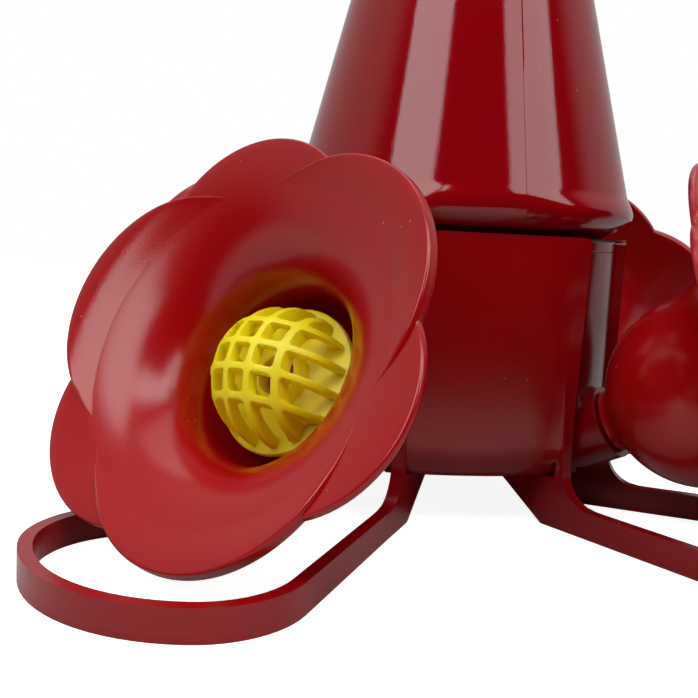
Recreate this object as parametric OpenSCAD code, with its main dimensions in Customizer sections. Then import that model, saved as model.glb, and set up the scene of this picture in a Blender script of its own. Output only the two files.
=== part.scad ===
// Hummingbird feeder: a tapered nectar bottle screwed down into a square bowl,
// four flower-shaped feeding ports with domed bee guards, and a perch loop under each.
// Millimetres, +Z up. The origin is the centre of the plane that the four loops stand on,
// with the front panel facing -Y and the flowers on the diagonals.

/* [Perch loops] */
// Distance from the centre axis to a loop's outer end
loop_reach = 98.4; // [92:0.2:108]
// Radius of a loop's rounded outer end
loop_end_r = 28.3; // [26:0.1:32]
// Radius of the corners beside the outer end
loop_corner_r = 16.9; // [13:0.1:19]
// Width of a loop across its corners
loop_width = 48.6; // [44:0.2:52]
// Height of the loop's band
band_h = 4.9; // [4:0.1:6.5]
// Thickness of the loop's band
band_t = 2.2; // [1.6:0.1:2.8]

/* [Legs] */
// How far each side of a leg stands out beyond the band's side
leg_step = 0.1; // [0.05:0.05:0.3]
// Radius of the turn from a leg to its arm
leg_turn_r = 6.5; // [4:0.1:9]
// Height at which a leg has sunk into its panel
leg_top_z = 39; // [30:0.5:45]
// Height below which a leg's outer edge stands upright
leg_straight_z = 16; // [14:0.5:22]
// How far a leg stands proud of the panel's edge
leg_proud = 0.3; // [0.1:0.05:0.8]
// How far the heel of a leg lies inside the panel's face
heel_in = 3.9; // [2:0.1:8]
// Slope of a leg's underside from the heel up to the floor
heel_angle = 32; // [25:1:45]

/* [Cradle] */
// Distance from the centre axis to the middle of a panel's face
panel_face = 31.7; // [30:0.1:34]
// Radius of a panel's gentle outward bow
panel_bow = 88; // [75:1:140]
// Width of a panel at its top edge
panel_width = 35.7; // [33:0.1:38]
// How much narrower a panel is at its foot
panel_taper = 2; // [0:0.1:3]
// Wall of the panels and of the floor
panel_wall = 2; // [1.5:0.1:2.6]
// Height of the floor's underside above the standing plane
floor_z = 8.45; // [7:0.05:11]
// Height of a panel from the underside of the floor
panel_h = 45.85; // [42:0.05:52]
// Radius of the turn from a panel into the floor
foot_r = 7; // [5:0.1:9]
// Radius of a panel's top corners
panel_corner_r = 1.2; // [0.5:0.1:3]

/* [Nectar bowl] */
// Radius of the bowl's corners about the centre axis
bowl_corner_r = 33.1; // [32:0.1:35]
// Wall of the bowl
bowl_wall = 1.8; // [1.4:0.1:2.4]
// Play between the bowl and the cradle
bowl_play = 0.2; // [0.1:0.05:0.4]
// Thickness of the cover plate
cover_t = 2; // [1.5:0.1:3]
// How far the cover lies below the panels' top edge
cover_drop = 0.5; // [0:0.1:2]
// Depth of the rim under the cover that locates it in the bowl
cover_rim_h = 2.5; // [1.5:0.1:4]

/* [Bottle neck] */
// Outer radius of the bottle's neck
neck_r = 16.9; // [15:0.1:19]
// Wall of the neck
neck_wall = 2.2; // [1.8:0.1:3]
// Length of the neck below the shoulder
neck_len = 14.4; // [12:0.1:18]
// Radial play between the neck and its collar
neck_play = 0.3; // [0.25:0.05:0.5]
// Wall of the collar
collar_wall = 2.2; // [1.8:0.1:3]
// How much further down the collar reaches than the neck
collar_extra = 1.5; // [0.5:0.1:4]
// Thickness of the flat neck seal
seal_t = 1.6; // [1:0.1:2.5]
// Width of the flat neck seal
seal_w = 4.8; // [3:0.1:7]

/* [Bottle] */
// How far the sides of the bottle's foot stand out beyond the panels' faces
foot_out = 1.8; // [0.5:0.1:2.4]
// Radius of the foot's corners about the centre axis
foot_corner_r = 35.5; // [34.5:0.1:37]
// Height of the foot at its corners
foot_h = 7.9; // [6:0.1:10]
// Radius of the foot's lower edge
foot_turn_r = 3.6; // [2:0.1:4.5]
// Height of the cone's lower edge above the shoulder
skirt_up = 4.8; // [4:0.1:5.6]
// Radius of the cone at its lower edge
cone_r = 34.6; // [32:0.1:35.6]
// Radius of the cone's lower edge
skirt_turn_r = 0.8; // [0.3:0.1:1.2]
// Radius of the cone at its upper end
cone_top_r = 13.2; // [12.5:0.1:18]
// Height of the cone
cone_h = 86; // [70:1:110]
// Radius of the turn from the cone to the top
crown_r = 7; // [5:0.1:9]
// Wall of the bottle
bottle_wall = 1.5; // [1.2:0.1:2]

/* [Hanger] */
// Radius of the stub on the bottle's top
stub_r = 4; // [3:0.1:4.6]
// Height of the stub
stub_h = 4; // [3:0.1:5]
// Radius of the hanger cap
cap_r = 7; // [6.4:0.1:9]
// Height of the hanger cap
cap_h = 13; // [12:0.5:18]
// Radius of the cap's upper edge
cap_turn_r = 3; // [1:0.1:4]
// Height of the bail's cross hole above the foot of the cap
pin_up = 8; // [7.6:0.1:9]
// Radius of the bail's wire
wire_r = 1.1; // [0.8:0.1:1.4]
// Play of the wire in the cap's cross hole
wire_play = 0.1; // [0.05:0.05:0.3]
// Length of each wire end inside the cap
pin_len = 4; // [3:0.1:5]
// Radius of the bail's round top
bail_r = 12; // [11.5:0.5:16]
// Length of the bail's straight sides
bail_side = 14; // [12:0.5:24]

/* [Feeding ports] */
// Upward tilt of the ports
port_tilt = 26.9; // [22:0.1:30]
// Height of a port's axis where it leaves the bowl's corner
port_z = 17.7; // [17.5:0.1:20]
// Outer radius of the boss round a port
boss_r = 7; // [6.7:0.1:7.5]
// Length of the boss outside the bowl's corner
boss_len = 4.6; // [4.2:0.1:6]
// Radius of the flower's plug
plug_r = 4.2; // [3.6:0.1:4.4]
// Length of the plug inside the boss
plug_len = 9; // [7:0.1:10]
// Play of the plug in its bore
plug_play = 0.2; // [0.1:0.05:0.3]
// Radius of the feeding passage
passage_r = 2.2; // [1.5:0.1:2.6]
// Thickness of the ring seal on the plug
ring_t = 1.4; // [1:0.1:1.6]

/* [Flowers] */
// Inner radius of the round cup behind the petals
cup_r = 16; // [15:0.1:18]
// Length from the boss to the centre of the cup
stem_len = 18.5; // [18.2:0.1:24]
// Radius of the stem between the boss and the cup
stem_r = 6; // [5.8:0.1:6.5]
// Depth from the petals' plane to the centre of the cup
funnel_depth = 16; // [13:0.1:20]
// Length of the throat before it flares
throat_len = 7.5; // [5:0.1:10]
// Radius at which the flare turns outward
flare_r = 21; // [19:0.1:25]
// How far that turn lies behind the petals' plane
flare_back = 1.5; // [0:0.1:4]
// How far the petals' tips stand ahead of the notches
tip_ahead = 0.8; // [0:0.1:3]
// Wall of the flower
flower_wall = 1.4; // [1:0.1:2]
// Radius of the petals' tips
petal_tip_r = 37.8; // [36:0.1:41]
// Radius of the notches between the petals
notch_r = 33.7; // [30:0.1:34.5]
// Half angle of an overlapping petal
petal_half = 32.7; // [30:0.1:36]
// Step of an overlapping petal above its neighbours
petal_step = 0.9; // [0.4:0.1:1.4]
// Turn of the petals about the flower's axis
petal_turn = 15.3; // [0:0.1:60]

/* [Feeding nozzle] */
// Radius of the raised nozzle at its foot
nozzle_r = 3.3; // [3:0.1:3.4]
// Radius of the nozzle at its tip
nozzle_tip_r = 2.8; // [2.6:0.1:3]
// Width of the sloped edge at the nozzle's tip
nozzle_edge = 0.6; // [0.3:0.1:0.8]
// Height of the nozzle above the centre of the cup
nozzle_up = 0.8; // [0.3:0.1:2]
// Radius of the feeding hole in the tip
hole_r = 1.4; // [0.8:0.1:1.6]

/* [Bee guards] */
// Outer radius of the domed guard
guard_r = 12.2; // [11.6:0.1:13]
// Depth of the guard's ribs at its pole
rib_depth = 2; // [1.2:0.1:2.6]
// Width of a rib
rib_w = 1; // [0.8:0.1:1.4]
// Spacing of the ribs
rib_pitch = 4.4; // [4.2:0.1:4.9]
// Turn of the lattice about the flower's axis
lattice_turn = 4; // [0:1:45]
// Radius of the tube round the nozzle at its foot
tube_r = 5.2; // [4.6:0.1:6]
// Wall of that tube at its tip
tube_wall = 0.9; // [0.7:0.1:1.1]
// Height of that tube above the flange
tube_h = 2.6; // [1.5:0.1:4]
// How far the guard's flange stands out beyond the dome
flange_out = 1; // [0.5:0.1:1.6]
// Thickness of the guard's flange and floor
flange_t = 1.6; // [1.2:0.1:2.2]
// How far the flange's front lies behind the centre of the dome
flange_sink = 0.3; // [0:0.1:1]
// Depth of the skirt that grips the seat in the cup
skirt_h = 3.6; // [2.5:0.1:4.5]
// Thickness of the skirt
skirt_t = 1.2; // [0.9:0.1:1.4]
// Play between the skirt and the seat
skirt_play = 0.1; // [0.05:0.05:0.2]
// Wall of the round seat that carries the guard
seat_wall = 1.5; // [1.2:0.1:2]

/* [Hidden] */
$fn = 96;

red = [0.62, 0.06, 0.07];
deep_red = [0.45, 0.02, 0.03];
yellow = [0.93, 0.80, 0.10];
steel = [0.75, 0.76, 0.78];
rubber = [0.12, 0.12, 0.13];

// Directions of the four corners
front_left = 225;
front_right = 315;
back_right = 45;
back_left = 135;
corners = [front_left, front_right, back_right, back_left];

// Heights that the pieces share
panel_top_z = floor_z + panel_h;
bowl_z = floor_z + panel_wall;
cover_top_z = panel_top_z - cover_drop;
bowl_top_z = cover_top_z - cover_t;
shoulder_z = cover_top_z + seal_t;
neck_end_z = shoulder_z - neck_len;
cone_z = shoulder_z + skirt_up;
foot_top_z = shoulder_z + foot_h;
cone_end_z = cone_z + cone_h;
cone_angle = atan((cone_r - cone_top_r) / cone_h);
crown_z = cone_end_z + crown_r * (1 - sin(cone_angle));
pin_z = crown_z + pin_up;
function cone_at(z) = cone_r - (z - cone_z) * (cone_r - cone_top_r) / cone_h;

// Panel half widths, and the distance of a panel's face from the axis at x from its middle
panel_half = panel_width / 2;
foot_half = panel_half - panel_taper / 2;
function face_at(x) = sqrt(panel_bow * panel_bow - x * x) - panel_bow + panel_face;

// Seen along a diagonal, u points outward and v across: the foot of a panel's edge there
edge_u = (face_at(foot_half) + foot_half) / sqrt(2);
edge_v = (face_at(foot_half) - foot_half) / sqrt(2);

// Centres of a loop's end arc and corner arcs, and the angle at which the arcs meet
end_u = loop_reach - loop_end_r;
corner_v = loop_width / 2 - loop_corner_r;
corner_u = end_u + sqrt(pow(loop_end_r - loop_corner_r, 2) - corner_v * corner_v);
meet_angle = atan2(corner_v, corner_u - end_u);

// An arm's inner face runs from the foot of the panel's edge, tangent to the corner arc
corner_inner_r = loop_corner_r - band_t;
arm_angle = atan2(corner_v - edge_v, corner_u - edge_u)
    + asin(corner_inner_r / norm([corner_u - edge_u, corner_v - edge_v]));
arm_start = leg_proud + leg_turn_r;

// Insets of the bowl's outer and inner faces from the panels' faces
bowl_inset = panel_wall + bowl_play;
cavity_inset = bowl_inset + bowl_wall;
bowl_foot_r = foot_r - bowl_inset;

// Stations along a port's axis, measured from the bowl's corner
stem_a = boss_len + plug_play;
cup_a = boss_len + stem_len;
mouth_a = cup_a + funnel_depth;
flange_a = cup_a - flange_sink;
seat_a = flange_a - flange_t;
nozzle_a = cup_a + nozzle_up;
plug_a = boss_len - plug_len;

// The guard's skirt stays within its dome, and the seat within the skirt
seat_r = guard_r - skirt_t - skirt_play;
groove_r = plug_r + ring_t;

// Points of an arc, for the outlines of turned pieces
function arc_points(cx, cy, r, a0, a1, n) =
    [for (i = [0 : n]) let (a = a0 + (a1 - a0) * i / n) [cx + r * cos(a), cy + r * sin(a)]];

// A round drum with a rounded lower edge
module drum(r, turn, z0, z1) {
    rotate_extrude()
        polygon(concat(
            [[0, z0]],
            arc_points(r - turn, z0 + turn, turn, 270, 360, 8),
            [[r, z1], [0, z1]]
        ));
}

// The drum that one bowed side belongs to
module side_drum(az, inset, turn, z0, z1) {
    rotate([0, 0, az])
        translate([0, panel_bow - panel_face, 0])
            drum(panel_bow - inset, turn, z0, z1);
}

// A block between the four bowed sides and the round corners, inset from the panels' faces
module bowed_block(inset, corner_r, turn, z0, z1) {
    intersection() {
        drum(corner_r, turn, z0, z1);
        side_drum(0, inset, turn, z0, z1);
        side_drum(90, inset, turn, z0, z1);
        side_drum(180, inset, turn, z0, z1);
        side_drum(270, inset, turn, z0, z1);
    }
}

// Plan of a plate between the bowed sides and the round corners
module bowed_plan(inset, corner_r) {
    reach = panel_bow - panel_face;
    intersection() {
        circle(r = corner_r);
        translate([0, reach])
            circle(r = panel_bow - inset);
        translate([0, -reach])
            circle(r = panel_bow - inset);
        translate([reach, 0])
            circle(r = panel_bow - inset);
        translate([-reach, 0])
            circle(r = panel_bow - inset);
    }
}

// Front view of a panel: tapered sides and rounded top corners
module panel_front() {
    side_top = panel_top_z - panel_corner_r;
    polygon([
        [-foot_half, floor_z],
        [foot_half, floor_z],
        [panel_half, side_top],
        [-panel_half, side_top]
    ]);
    for (s = [-1, 1])
        translate([s * (panel_half - panel_corner_r), side_top])
            circle(r = panel_corner_r);
    translate([-panel_half + panel_corner_r, side_top - panel_corner_r])
        square([panel_width - 2 * panel_corner_r, 2 * panel_corner_r]);
}

// One bowed side panel, with its rounded foot and a strip of the floor
module panel() {
    root = panel_face - foot_r - panel_wall;
    intersection() {
        difference() {
            side_drum(0, 0, foot_r, floor_z, panel_top_z);
            side_drum(0, panel_wall, foot_r - panel_wall, bowl_z, panel_top_z + panel_wall);
        }
        translate([0, -root, 0])
            rotate([90, 0, 0])
                linear_extrude(panel_face + panel_wall - root)
                    panel_front();
    }
}

// A point of an arm: along runs outward from the panel's edge, across from the inner face
function arm_point(along, across) = [
    edge_u + along * cos(arm_angle) - across * sin(arm_angle),
    edge_v + along * sin(arm_angle) + across * cos(arm_angle)
];

// A point of a loop's corner arc
function corner_point(r, a) = [corner_u + r * cos(a), corner_v + r * sin(a)];

// Plan of a loop out to its outer face, less an inset
module loop_plan(inset) {
    end_r = loop_end_r - inset;
    side_r = loop_corner_r - inset;
    far = 2 * loop_end_r;
    half = [
        arm_point(0, band_t - inset),
        corner_point(side_r, 90 + arm_angle),
        corner_point(side_r, meet_angle)
    ];
    intersection() {
        translate([end_u, 0])
            circle(r = end_r);
        polygon([
            [end_u, 0],
            [end_u + far * cos(meet_angle), -far * sin(meet_angle)],
            [end_u + far, 0],
            [end_u + far * cos(meet_angle), far * sin(meet_angle)]
        ]);
    }
    for (s = [-1, 1])
        translate([corner_u, s * corner_v])
            circle(r = side_r);
    polygon(concat(half, [for (i = [2 : -1 : 0]) [half[i][0], -half[i][1]]]));
}

// The band of a loop, from the ends of its two legs round the outer end
module loop_band() {
    linear_extrude(band_h)
        difference() {
            loop_plan(0);
            loop_plan(band_t);
            translate([0, -loop_width])
                square([arm_point(arm_start, 0)[0], 2 * loop_width]);
        }
}

// Side view of a leg: x runs outward along the arm, y up
module leg_side() {
    arm_end = arm_start + band_t;
    rise = floor_z + panel_wall / 2;
    polygon(concat(
        [
            [-heel_in, 0],
            [arm_end, 0],
            [arm_end, band_h]
        ],
        arc_points(arm_start, band_h + leg_turn_r, leg_turn_r, 270, 180, 10),
        [
            [leg_proud, leg_straight_z],
            [-0.4 * panel_wall, leg_top_z],
            [-0.65 * panel_wall, leg_top_z],
            [-0.65 * panel_wall, rise],
            [-heel_in - rise / tan(heel_angle), rise]
        ]
    ));
}

module leg() {
    translate([edge_u, edge_v, 0])
        rotate([0, 0, arm_angle])
            translate([0, band_t + leg_step, 0])
                rotate([90, 0, 0])
                    linear_extrude(band_t + 2 * leg_step)
                        leg_side();
}

// Cradle floor, four panels, eight legs and four loops in one moulding
module perch_frame() {
    color(red)
        union() {
            translate([0, 0, floor_z])
                linear_extrude(panel_wall)
                    bowed_plan(foot_r, bowl_corner_r);
            for (k = [0 : 3])
                rotate([0, 0, 90 * k])
                    panel();
            for (az = corners)
                rotate([0, 0, az]) {
                    loop_band();
                    leg();
                    mirror([0, 1, 0])
                        leg();
                }
        }
}

// Places a piece on the axis of the port at one corner, with its own +Z along that axis
module at_port(az) {
    rotate([0, 0, az])
        translate([bowl_corner_r, 0, port_z])
            rotate([0, 90 - port_tilt, 0])
                children();
}

// Square bowl with a tilted port boss on each corner, flush with the bowl's underside
module nectar_bowl() {
    boss_root = boss_len - plug_len;
    clear_h = floor_z + boss_r;
    color(deep_red)
        difference() {
            union() {
                difference() {
                    bowed_block(bowl_inset, bowl_corner_r, bowl_foot_r, bowl_z, bowl_top_z);
                    bowed_block(cavity_inset, bowl_corner_r - bowl_wall, bowl_foot_r - bowl_wall,
                        bowl_z + bowl_wall, bowl_top_z + bowl_wall);
                }
                for (az = corners)
                    at_port(az)
                        translate([0, 0, boss_root])
                            cylinder(r = boss_r, h = boss_len - boss_root);
            }
            translate([0, 0, bowl_z - clear_h])
                cylinder(r = 2 * bowl_corner_r, h = clear_h);
            for (az = corners)
                at_port(az) {
                    translate([0, 0, boss_root - plug_len])
                        cylinder(r = plug_r + plug_play, h = 3 * plug_len);
                    translate([0, 0, boss_len - ring_t])
                        cylinder(r = groove_r, h = 2 * ring_t);
                }
        }
}

// Cover plate with the threaded collar that takes the bottle's neck
module bowl_cover() {
    bore_r = neck_r + neck_play;
    collar_z = neck_end_z - collar_extra;
    rim_inset = cavity_inset + bowl_play;
    rim_corner_r = bowl_corner_r - bowl_wall - bowl_play;
    color(deep_red)
        difference() {
            union() {
                translate([0, 0, bowl_top_z])
                    linear_extrude(cover_t)
                        bowed_plan(bowl_inset, bowl_corner_r);
                translate([0, 0, bowl_top_z - cover_rim_h])
                    linear_extrude(cover_rim_h + cover_t / 2)
                        difference() {
                            bowed_plan(rim_inset, rim_corner_r);
                            bowed_plan(rim_inset + bowl_wall, rim_corner_r - bowl_wall);
                        }
                translate([0, 0, collar_z])
                    cylinder(r = bore_r + collar_wall, h = bowl_top_z + cover_t / 2 - collar_z);
            }
            translate([0, 0, collar_z - cover_t])
                cylinder(r = bore_r, h = cover_top_z - collar_z + 2 * cover_t);
        }
}

// Flat ring between the cover and the bottle's shoulder
module neck_seal() {
    color(rubber)
        translate([0, 0, cover_top_z])
            difference() {
                cylinder(r = neck_r + neck_play + seal_w, h = seal_t);
                translate([0, 0, -seal_t])
                    cylinder(r = neck_r + neck_play, h = 3 * seal_t);
            }
}

// Outline of the bottle's hollow, from the neck's mouth to the crown
module bottle_hollow() {
    side_wall = bottle_wall / cos(cone_angle);
    foot_r_in = panel_face + foot_out - bottle_wall;
    crown_x = cone_top_r - crown_r * cos(cone_angle);
    crown_y = cone_end_z - crown_r * sin(cone_angle);
    floor_up = shoulder_z + bottle_wall;
    polygon(concat(
        [
            [0, neck_end_z - neck_wall],
            [neck_r - neck_wall, neck_end_z - neck_wall],
            [neck_r - neck_wall, floor_up],
            [foot_r_in - foot_turn_r, floor_up],
            [foot_r_in, floor_up + foot_turn_r],
            [cone_at(foot_top_z) - side_wall, foot_top_z],
            [cone_top_r - side_wall, cone_end_z]
        ],
        arc_points(crown_x, crown_y, crown_r - bottle_wall, cone_angle, 90, 8),
        [[0, crown_z - bottle_wall]]
    ));
}

// Outline of the neck, the round cone, the crown and the stub
module bottle_outline() {
    crown_x = cone_top_r - crown_r * cos(cone_angle);
    crown_y = cone_end_z - crown_r * sin(cone_angle);
    polygon(concat(
        [
            [0, neck_end_z],
            [neck_r, neck_end_z],
            [neck_r, shoulder_z + bottle_wall],
            [cone_r - 2 * skirt_turn_r, cone_z - skirt_turn_r]
        ],
        arc_points(cone_r - skirt_turn_r, cone_z, skirt_turn_r, 270, 360 + cone_angle, 6),
        [[cone_top_r, cone_end_z]],
        arc_points(crown_x, crown_y, crown_r, cone_angle, 90, 8),
        [[stub_r, crown_z], [stub_r, crown_z + stub_h], [0, crown_z + stub_h]]
    ));
}

// Blown bottle: neck down, a foot with bowed sides and round corners, round cone and crown
module bottle() {
    color(red)
        difference() {
            union() {
                rotate_extrude()
                    bottle_outline();
                bowed_block(-foot_out, foot_corner_r, foot_turn_r, shoulder_z, foot_top_z);
            }
            rotate_extrude()
                bottle_hollow();
        }
}

// Cap pressed on the bottle's stub, with a cross hole for the bail
module hanger_cap() {
    cap_top_z = crown_z + cap_h;
    color(deep_red)
        difference() {
            rotate_extrude()
                polygon(concat(
                    [[0, crown_z], [cap_r, crown_z]],
                    arc_points(cap_r - cap_turn_r, cap_top_z - cap_turn_r, cap_turn_r, 0, 90, 6),
                    [[0, cap_top_z]]
                ));
            translate([0, 0, crown_z - stub_h])
                cylinder(r = stub_r + skirt_play, h = 2 * stub_h + plug_play);
            translate([0, 2 * cap_r, pin_z])
                rotate([90, 0, 0])
                    cylinder(r = wire_r + wire_play, h = 4 * cap_r);
        }
}

// Wire bail: two inturned ends, straight sides and a round top
module hanger_bail() {
    color(steel)
        union() {
            for (s = [-1, 1]) {
                translate([0, s * bail_r, pin_z])
                    rotate([s * 90, 0, 0])
                        cylinder(r = wire_r, h = bail_r - cap_r + pin_len);
                translate([0, s * bail_r, pin_z])
                    sphere(r = wire_r);
                translate([0, s * bail_r, pin_z])
                    cylinder(r = wire_r, h = bail_side);
            }
            translate([0, 0, pin_z + bail_side])
                rotate([90, 0, 90])
                    rotate_extrude(angle = 180)
                        translate([bail_r, 0])
                            circle(r = wire_r);
        }
}

// The flower's front face runs from the cup's edge to the petals' tips along a smooth curve
rim_r = petal_tip_r + flower_wall;
curve_ends = [
    [cup_r, cup_a],
    [cup_r, cup_a + throat_len],
    [flare_r, mouth_a - flare_back],
    [rim_r, mouth_a + tip_ahead]
];
curve_steps = 14;
lap_start = 0.66;
lap_end = 0.9;

function curve_point(t) =
    pow(1 - t, 3) * curve_ends[0]
    + 3 * pow(1 - t, 2) * t * curve_ends[1]
    + 3 * (1 - t) * t * t * curve_ends[2]
    + pow(t, 3) * curve_ends[3];

function curve_slope(t) =
    pow(1 - t, 2) * (curve_ends[1] - curve_ends[0])
    + 2 * (1 - t) * t * (curve_ends[2] - curve_ends[1])
    + t * t * (curve_ends[3] - curve_ends[2]);

// A point raised above the curve on its front side
function raised_point(t, up) =
    let (d = curve_slope(t))
    curve_point(t) + up * [-d[1], d[0]] / norm(d);

// Rise of an overlapping petal, which fades out towards the throat
function petal_rise(t) =
    let (k = min(1, (t - lap_start) / (lap_end - lap_start)))
    petal_step * k * k * (3 - 2 * k);

// Section of the whole funnel
module funnel_section() {
    steps = [for (i = [0 : curve_steps]) i / curve_steps];
    polygon(concat(
        [for (t = steps) curve_point(t)],
        [for (i = [curve_steps : -1 : 0]) raised_point(steps[i], -flower_wall)]
    ));
}

// Section of the layer that the three overlapping petals add
module petal_section() {
    first = lap_start + (lap_end - lap_start) / 8;
    steps = [for (i = [0 : curve_steps]) first + (1 - first) * i / curve_steps];
    polygon(concat(
        [for (t = steps) raised_point(t, petal_rise(t))],
        [for (i = [curve_steps : -1 : 0]) raised_point(steps[i], -flower_wall / 2)]
    ));
}

// Distance of a round petal's centre from the flower's axis, for its half angle
function petal_centre(half) =
    (petal_tip_r * petal_tip_r - notch_r * notch_r) / (2 * (petal_tip_r - notch_r * cos(half)));

// Three round petals, seen from the front
module petals(half, turn) {
    centre = petal_centre(half);
    for (k = [0 : 2])
        rotate(turn + 120 * k)
            translate([centre, 0])
                circle(r = petal_tip_r - centre);
}

// Section of the cup, the guard's seat, the nozzle, the stem and the plug
module cup_section() {
    back_a = cup_a - cup_r;
    intersection() {
        difference() {
            translate([0, cup_a])
                circle(r = cup_r + flower_wall);
            translate([0, cup_a])
                circle(r = cup_r);
        }
        square([2 * cup_r, cup_a]);
    }
    intersection() {
        translate([0, cup_a])
            circle(r = cup_r + flower_wall / 2);
        translate([seat_r - seat_wall, back_a - flower_wall])
            square([seat_wall, seat_a - back_a + flower_wall]);
    }
    polygon([
        [0, back_a - flower_wall / 2],
        [nozzle_r, back_a - flower_wall / 2],
        [nozzle_r, seat_a],
        [nozzle_tip_r, nozzle_a - nozzle_edge],
        [nozzle_tip_r - nozzle_edge, nozzle_a],
        [0, nozzle_a]
    ]);
    translate([0, stem_a])
        square([stem_r, back_a - stem_a]);
    translate([0, plug_a])
        square([plug_r, back_a - plug_a]);
}

// One flower: petals, funnel, cup, stem and plug in one moulding
module flower() {
    color(red)
        difference() {
            union() {
                rotate_extrude()
                    cup_section();
                intersection() {
                    rotate_extrude()
                        funnel_section();
                    linear_extrude(mouth_a + petal_tip_r)
                        union() {
                            circle(r = notch_r - 2 * flower_wall);
                            petals(60 - petal_half, petal_turn + 60);
                            petals(petal_half, petal_turn);
                        }
                }
                intersection() {
                    rotate_extrude()
                        petal_section();
                    linear_extrude(mouth_a + petal_tip_r)
                        petals(petal_half, petal_turn);
                }
            }
            translate([0, 0, plug_a - passage_r])
                cylinder(r = passage_r, h = nozzle_a - plug_a);
            translate([0, 0, cup_a])
                cylinder(r = hole_r, h = cup_r);
        }
}

// Ring seal between the flower's stem and the boss
module spout_seal() {
    color(rubber)
        translate([0, 0, boss_len - ring_t / 2])
            rotate_extrude()
                translate([plug_r + ring_t / 2, 0])
                    circle(r = ring_t / 2 - skirt_play / 2);
}

// Section of the guard's flange, floor and gripping skirt, and of its tube round the nozzle
module guard_section() {
    bore_r = nozzle_r + plug_play;
    tube_tip_a = flange_a + tube_h;
    polygon([
        [bore_r, seat_a],
        [seat_r + skirt_play, seat_a],
        [seat_r + skirt_play, seat_a - skirt_h],
        [guard_r, seat_a - skirt_h],
        [guard_r, seat_a],
        [guard_r + flange_out, seat_a],
        [guard_r + flange_out, flange_a],
        [tube_r, flange_a],
        [bore_r + tube_wall, tube_tip_a],
        [bore_r, tube_tip_a]
    ]);
}

// Ribs of the guard, four each way, seen along the flower's axis
module lattice_plan() {
    for (turn = [0, 90], i = [-1.5 : 1.5])
        rotate(turn)
            translate([i * rib_pitch, 0])
                square([rib_w, 2 * guard_r], center = true);
}

// Domed guard: a lattice in a hemisphere on a flange, moulded in one piece
module bee_guard() {
    color(yellow)
        union() {
            intersection() {
                difference() {
                    translate([0, 0, cup_a])
                        sphere(r = guard_r);
                    translate([0, 0, cup_a])
                        sphere(r = guard_r - rib_depth);
                }
                translate([0, 0, flange_a - flange_t / 2])
                    rotate([0, 0, lattice_turn])
                        linear_extrude(2 * guard_r)
                            lattice_plan();
            }
            rotate_extrude()
                guard_section();
        }
}

module flower_front_left() {
    at_port(front_left)
        flower();
}

module flower_front_right() {
    at_port(front_right)
        flower();
}

module flower_back_right() {
    at_port(back_right)
        flower();
}

module flower_back_left() {
    at_port(back_left)
        flower();
}

module bee_guard_front_left() {
    at_port(front_left)
        bee_guard();
}

module bee_guard_front_right() {
    at_port(front_right)
        bee_guard();
}

module bee_guard_back_right() {
    at_port(back_right)
        bee_guard();
}

module bee_guard_back_left() {
    at_port(back_left)
        bee_guard();
}

module spout_seal_front_left() {
    at_port(front_left)
        spout_seal();
}

module spout_seal_front_right() {
    at_port(front_right)
        spout_seal();
}

module spout_seal_back_right() {
    at_port(back_right)
        spout_seal();
}

module spout_seal_back_left() {
    at_port(back_left)
        spout_seal();
}

perch_frame();
nectar_bowl();
bowl_cover();
neck_seal();
bottle();
hanger_cap();
hanger_bail();
flower_front_left();
flower_front_right();
flower_back_right();
flower_back_left();
bee_guard_front_left();
bee_guard_front_right();
bee_guard_back_right();
bee_guard_back_left();
spout_seal_front_left();
spout_seal_front_right();
spout_seal_back_right();
spout_seal_back_left();
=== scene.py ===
# %% [markdown]
# # A hummingbird feeder in red plastic
# The feeder is a tapered bottle that stands on a square bowl. Four flowers lead the birds to the
# nectar, each with a yellow guard that keeps bees out, and a perch loop runs under each flower.
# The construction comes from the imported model. This lesson dresses it: it models the surfaces
# with soft moulded edges, gives each plastic its finish, and lights it as in a small studio.

# %% Load the frame
import math
from functools import lru_cache
import bmesh
import bpy
from mathutils import Matrix, Vector


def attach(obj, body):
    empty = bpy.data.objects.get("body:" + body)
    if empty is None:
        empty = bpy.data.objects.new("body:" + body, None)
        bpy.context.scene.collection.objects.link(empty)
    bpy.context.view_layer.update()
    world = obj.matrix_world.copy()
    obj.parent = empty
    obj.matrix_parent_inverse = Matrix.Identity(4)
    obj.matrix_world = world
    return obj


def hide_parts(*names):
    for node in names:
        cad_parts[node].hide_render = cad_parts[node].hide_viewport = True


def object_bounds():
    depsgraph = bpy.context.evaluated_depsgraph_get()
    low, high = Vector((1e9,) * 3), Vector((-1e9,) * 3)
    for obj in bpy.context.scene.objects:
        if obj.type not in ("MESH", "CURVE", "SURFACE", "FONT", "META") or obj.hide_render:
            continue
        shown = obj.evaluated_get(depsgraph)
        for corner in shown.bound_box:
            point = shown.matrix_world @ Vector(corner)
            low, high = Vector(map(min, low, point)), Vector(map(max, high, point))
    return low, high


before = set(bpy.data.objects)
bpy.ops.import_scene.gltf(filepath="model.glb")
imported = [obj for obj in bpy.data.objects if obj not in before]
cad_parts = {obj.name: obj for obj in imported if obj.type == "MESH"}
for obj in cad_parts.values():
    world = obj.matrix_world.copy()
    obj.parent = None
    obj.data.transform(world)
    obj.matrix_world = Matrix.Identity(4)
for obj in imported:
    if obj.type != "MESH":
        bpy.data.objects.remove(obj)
cad_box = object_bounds()
MM = 0.001
print("nodes:", len(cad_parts), "size in mm:", [round(v / MM, 1) for v in cad_box[1] - cad_box[0]])

# %% [markdown]
# The camera comes first, because every later choice is judged through it. It stands where the
# photographer stood: a little above the flowers, slightly to the left of the front panel.
# Its three axes are given as directions, and the lens follows from the field of view.

# %% The camera
camera_place = Vector((-0.0487, -0.1897, 0.0530))
camera_right = Vector((0.98959, -0.13479, 0.05052)).normalized()
camera_up = Vector((-0.03268, 0.13136, 0.99079)).normalized()
focal_px = 912.98
image_px = 698
sensor_mm = 36.0
clip_near, clip_far = 0.005, 50.0


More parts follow.
